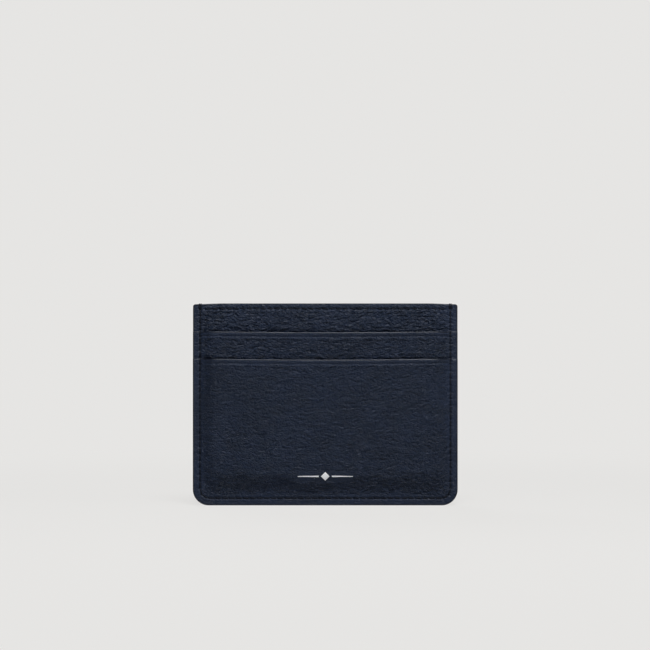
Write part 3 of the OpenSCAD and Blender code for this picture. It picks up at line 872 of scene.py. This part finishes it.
# ---- front pockets: lining and painted mouths -------------------------------------------------------
# The same textile is glued behind the front pocket leather, and the cut edge of its mouth is painted and
# polished like the upper one before the pocket is sewn on.
plain_pocket_zs = lines((EDGE_COAT_T, 0.65), (9, 3), (pocket_mouth_z - 8, 1),
                        (pocket_mouth_z - EDGE_COAT_T, 0))
for half, side in (("front", -1), ("rear", 1)):
    cloth = cut_sheet(side, plain_xs, plain_pocket_zs,
                      lambda x, z: upper_y + pocket_stand(x, z),
                      lambda x, z: upper_y + LINING_T + pocket_stand(x, z))
    line_with(f"lining_{half}_pocket", droop(cloth, pocket_mouth_z),
              [f"{half}_pocket_lining"])
    bead = paint_mouth(side, pocket_mouth_z, upper_y, pocket_y, pocket_stand)
    fit(f"edge_paint_{half}_pocket", bead, painted_edge, [f"{half}_pocket_edge_coat"])

# ---- foil mark --------------------------------------------------------------------------------------
# A plain ornament, hot-stamped in silver foil low on the front pocket: a lozenge between two slim bars.
# The foil is a few hundredths thick, pressed into the leather, with tiny pinholes where it missed.
FOIL_T = 0.045
FOIL_ROUNDING = 0.012
FOIL_PROUD = 0.015
RIM_ANGLE = 1
BAR_SHARE = 1 / 6
BAR_GAP_SHARE = 1 / 4
FOIL_SILVER = (0.95, 0.955, 0.97, 1)
FOIL_DULL = (0.5, 0.51, 0.55, 1)

silver_foil, tree, shader = principled("silver_foil", Metallic=0.3)
place = place_in_mm(tree)
pinholes = socket_node(tree, "ShaderNodeTexNoise", {"Vector": place, "Scale": 6, "Detail": 4})
missed = in_range(tree, pinholes.outputs[0], 0.62, 0.74, 0, 1)
tree.links.new(mix_colour(tree, missed, FOIL_SILVER, FOIL_DULL), shader.inputs["Base Color"])
tree.links.new(in_range(tree, pinholes.outputs[0], 0.3, 0.7, 0.38, 0.55), shader.inputs["Roughness"])
stamped_in = socket_node(tree, "ShaderNodeBump", {"Height": pinholes.outputs[0], "Strength": 0.5,
                                                  "Distance": 0.03 * MM})
tree.links.new(stamped_in.outputs[0], shader.inputs["Normal"])

foil = bmesh.new()
foil_h = foil_high.z - foil_low.z
bmesh.ops.create_circle(foil, cap_ends=True, segments=4, radius=foil_h / 2)
bar_start = foil_h / 2 + BAR_GAP_SHARE * foil_h
bar_length = foil_high.x - bar_start
for way in (-1, 1):
    bar = bmesh.ops.create_grid(foil, x_segments=1, y_segments=1, size=0.5)["verts"]
    for v in bar:
        outward = v.co.x * way + 0.5
        v.co.x = way * (bar_start + outward * bar_length)
        v.co.y *= BAR_SHARE * foil_h * (1 - 0.5 * outward)
bmesh.ops.subdivide_edges(foil, edges=foil.edges[:], cuts=5, use_grid_fill=True)
grown = bmesh.ops.extrude_face_region(foil, geom=foil.faces[:])["geom"]
bmesh.ops.translate(foil, vec=(0, 0, FOIL_T), verts=[g for g in grown if isinstance(g, bmesh.types.BMVert)])
bmesh.ops.recalc_face_normals(foil, faces=foil.faces)
rims = [edge for edge in foil.edges if edge.calc_face_angle() > RIM_ANGLE]
bmesh.ops.bevel(foil, geom=rims, offset=FOIL_ROUNDING, offset_type="OFFSET", segments=2, profile=0.5,
                affect="EDGES", material=-1)
for v in foil.verts:
    x, z = v.co.x, foil_z + v.co.y
    v.co = (x, -(pocket_y + pocket_stand(x, z)) - v.co.z + FOIL_PROUD, z)
bmesh.ops.recalc_face_normals(foil, faces=foil.faces)
fit("stamped_foil_mark", foil, silver_foil, ["foil_mark"])

# ---- perimeter seam ---------------------------------------------------------------------------------
# One row of stitches down a side, along the bottom and up the other side holds all the sheets together.
# It steps down at each pocket mouth, and at both ends the thread passes twice over the top edge.
MOUTH_STEP = 0.35
STEP_BELOW_MOUTH = 0.05
WRAP_R = 0.24
WRAP_WIDTH = 1.15
WRAP_ASIDE = 0.3
WRAP_STEPS = 14
WRAP_PLY_TURNS = 1.5
WRAP_BEND_R = 0.45
WRAP_SINK = 0.4
WRAP_OFF_FACE = 0.08
WRAP_OVER_TOP = 0.04
CLIMB_END = 0.6
BEND_END = 0.8
BEND_SHARE = 0.2


def sewn_stack(x, z):
    """Where the outermost sheet lies in the seams, at any x: it steps at the heights of the mouths."""
    step_to_upper = smooth((z - pocket_mouth_z + STEP_BELOW_MOUTH) / MOUTH_STEP)
    step_to_panel = smooth((z - upper_mouth_z + STEP_BELOW_MOUTH) / MOUTH_STEP)
    return pocket_y - (pocket_y - upper_y) * step_to_upper - (upper_y - panel_y) * step_to_panel


def wrap_over(bm, side, x):
    """One pass of the thread at an end of the seam: up from its last hole and over to the middle."""
    out_y, over_z = panel_y + WRAP_OFF_FACE, holder_h + WRAP_OVER_TOP
    rise = over_z - WRAP_BEND_R - top_seam_z

    def place(s, a):
        t = s / WRAP_STEPS
        climb = np.clip(t / CLIMB_END, 0, 1)
        bend = np.clip((t - CLIMB_END) / BEND_SHARE, 0, 1) * math.pi / 2
        across = np.clip((t - BEND_END) / BEND_SHARE, 0, 1)
        depth = out_y - WRAP_BEND_R * (1 - np.cos(bend)) - across * (out_y - WRAP_BEND_R)
        depth = depth - WRAP_SINK * (1 - climb) ** 6
        z = top_seam_z + rise * climb + WRAP_BEND_R * np.sin(bend)
        turn = 2 * math.pi * a / THREAD_SIDES
        lobe = 1 + PLY_BULGE * np.cos(2 * turn - 2 * math.pi * WRAP_PLY_TURNS * t)
        r = WRAP_R * lobe * np.cos(turn)
        return (x + WRAP_R * lobe * np.sin(turn) * WRAP_WIDTH, side * (depth + r * np.cos(bend)),
                z + r * np.sin(bend))

    grid_tube(bm, WRAP_STEPS + 1, THREAD_SIDES, place)


for thread, half, side in (("needle", "front", -1), ("bobbin", "rear", 1)):
    stitches = sew(side, around_holes, sewn_stack)
    for x, _ in (around_holes[0], around_holes[-1]):
        for aside in (-WRAP_ASIDE, WRAP_ASIDE):
            wrap_over(stitches, side, x + aside)
    bmesh.ops.recalc_face_normals(stitches, faces=stitches.faces)
    fit(f"stitching_perimeter_{half}", stitches, twisted_thread,
        [f"perimeter_{thread}_thread"])

# ---- perimeter edge paint ---------------------------------------------------------------------------
# With everything sewn, the raw sides and bottom are sanded flush, their corners rounded, and painted in
# the same nearly black paint. The paint follows the steps at the pocket mouths and laps onto the faces.
PAINT_WANDER = 0.02
WANDER_LENGTH = 4
PAINT_STEP_BELOW = 0.25
SIDE_EDGE_R = 0.4


def perimeter_path():
    """The outline down one side, along the bottom and up the other, and the way into the holder."""
    side_z = lines((CORNER_R, 1.5), (pocket_mouth_z - 0.9, 0.12), (pocket_mouth_z + 0.9, 1.5),
                   (upper_mouth_z - 0.9, 0.12), (upper_mouth_z + 0.9, 1.5), (holder_h - TOP_CORNER_R, 0))
    turn = np.linspace(0, math.pi / 2, 13)[1:-1]
    bottom = lines((0, 1.5), (half_w - CORNER_R, 0))
    in_x = np.concatenate([0 * bottom, -np.sin(turn), 0 * side_z - 1])
    in_z = np.concatenate([0 * bottom + 1, np.cos(turn), 0 * side_z])
    x = np.concatenate([bottom, 0 * turn + half_w - CORNER_R, 0 * side_z + half_w - CORNER_R])
    z = np.concatenate([0 * bottom + CORNER_R, 0 * turn + CORNER_R, side_z])
    x, z = x - CORNER_R * np.where(in_z == 1, 0, in_x), z - CORNER_R * np.where(in_x == -1, 0, in_z)
    mirrored = [way * half[:0:-1] for way, half in ((-1, x), (1, z), (-1, in_x), (1, in_z))]
    return [np.concatenate(pair) for pair in zip(mirrored, (x, z, in_x, in_z))]


x, z, in_x, in_z = perimeter_path()
wander = np.array([noise.noise(Vector((vx / WANDER_LENGTH, vz / WANDER_LENGTH, 0))) for vx, vz in zip(x, z)])
thick = sewn_stack(x, z + PAINT_STEP_BELOW) + PAINT_WANDER * wander
bead = paint_edge(x, z, in_x, in_z, -thick, thick, SIDE_EDGE_R)
fit("edge_paint_perimeter", bead, painted_edge, ["perimeter_edge_coat"])

# ---- studio -----------------------------------------------------------------------------------------
# A pale seamless sweep, round the holder on all sides. The main soft box hangs in front, high up, and
# its low bounce off the floor lets the grain show. Three weaker ones stand at the left, the right and
# behind.
SWEEP_COLOUR = (0.79, 0.783, 0.77, 1)
SWEEP_LIT = 0.88
SWEEP_SHADOW = (0.62, 0.615, 0.605, 1)
FLOOR_BOUNCE = (0.45, 0.45, 0.45, 1)
WALL_BOUNCE = (0.15, 0.15, 0.15, 1)
SHADOW_FADE = (0.1, 0.4)
BOUNCE_FADE = (0.2, 0.9)
FLOOR_R = 1.6
SWEEP_R = 0.8
WALL_H = 2.4
AIM = Vector((0, 0, 0.04))
WORLD_COLOUR = (0.9, 0.93, 1.0, 1)
WORLD_STRENGTH = 0.05

seamless, tree, shader = principled("seamless", Base_Color=SWEEP_SHADOW, Roughness=1.0, Specular_IOR_Level=0)
place = socket_node(tree, "ShaderNodeTexCoord").outputs["Object"]
far = socket_node(tree, "ShaderNodeVectorMath", {0: place}, operation="LENGTH").outputs["Value"]
glow = socket_node(tree, "ShaderNodeEmission", {"Color": SWEEP_COLOUR, "Strength": 1.0})
seen = socket_node(tree, "ShaderNodeLightPath").outputs["Is Camera Ray"]
bounce_tone = mix_colour(tree, in_range(tree, far, *BOUNCE_FADE, 0, 1), FLOOR_BOUNCE, WALL_BOUNCE)
bounce = socket_node(tree, "ShaderNodeBsdfDiffuse", {"Color": bounce_tone})
lit = socket_node(tree, "ShaderNodeMixShader", {0: in_range(tree, far, *SHADOW_FADE, SWEEP_LIT, 1),
                                                1: shader.outputs[0], 2: glow.outputs[0]})
blend = socket_node(tree, "ShaderNodeMixShader", {0: seen, 1: bounce.outputs[0], 2: lit.outputs[0]})
tree.links.new(blend.outputs[0], tree.nodes["Material Output"].inputs["Surface"])

sweep = bmesh.new()
bmesh.ops.create_circle(sweep, segments=64, radius=FLOOR_R, cap_ends=True)
rim = sweep.edges[:]
for angle in np.linspace(0, math.pi / 2, 9)[1:]:
    ring = bmesh.ops.extrude_edge_only(sweep, edges=rim)["geom"]
    rim = [g for g in ring if isinstance(g, bmesh.types.BMEdge)]
    for v in (g for g in ring if isinstance(g, bmesh.types.BMVert)):
        out = Vector((v.co.x, v.co.y, 0)).normalized() * (FLOOR_R + SWEEP_R * math.sin(angle))
        v.co = (out.x, out.y, SWEEP_R * (1 - math.cos(angle)))
ring = bmesh.ops.extrude_edge_only(sweep, edges=rim)["geom"]
bmesh.ops.translate(sweep, vec=(0, 0, WALL_H), verts=[g for g in ring if isinstance(g, bmesh.types.BMVert)])
for face in sweep.faces:
    face.smooth = True
sweep_mesh = bpy.data.meshes.new("sweep")
sweep.to_mesh(sweep_mesh)
sweep.free()
sweep_mesh.materials.append(seamless)
backdrop = bpy.data.objects.new("sweep", sweep_mesh)
scene.collection.objects.link(backdrop)


def soft_box(name, place, size, watts):
    """A square soft light that faces the middle of the holder."""
    data = bpy.data.lights.new(name, "AREA")
    data.size = size
    data.energy = watts
    light = bpy.data.objects.new(name, data)
    light.location = place
    light.rotation_euler = (AIM - Vector(place)).to_track_quat("-Z", "Y").to_euler()
    scene.collection.objects.link(light)


soft_box("overhead", (0.06, -0.42, 0.72), 0.3, 7.0)
soft_box("front_left", (-0.7, -0.9, 0.6), 0.5, 0.8)
soft_box("right", (0.8, -0.35, 0.35), 0.4, 1.6)
soft_box("behind", (-0.3, 0.75, 0.55), 0.5, 4.0)
world = bpy.data.worlds.new("studio")
world.use_nodes = True
world.node_tree.nodes["Background"].inputs["Color"].default_value = WORLD_COLOUR
world.node_tree.nodes["Background"].inputs["Strength"].default_value = WORLD_STRENGTH
scene.world = world
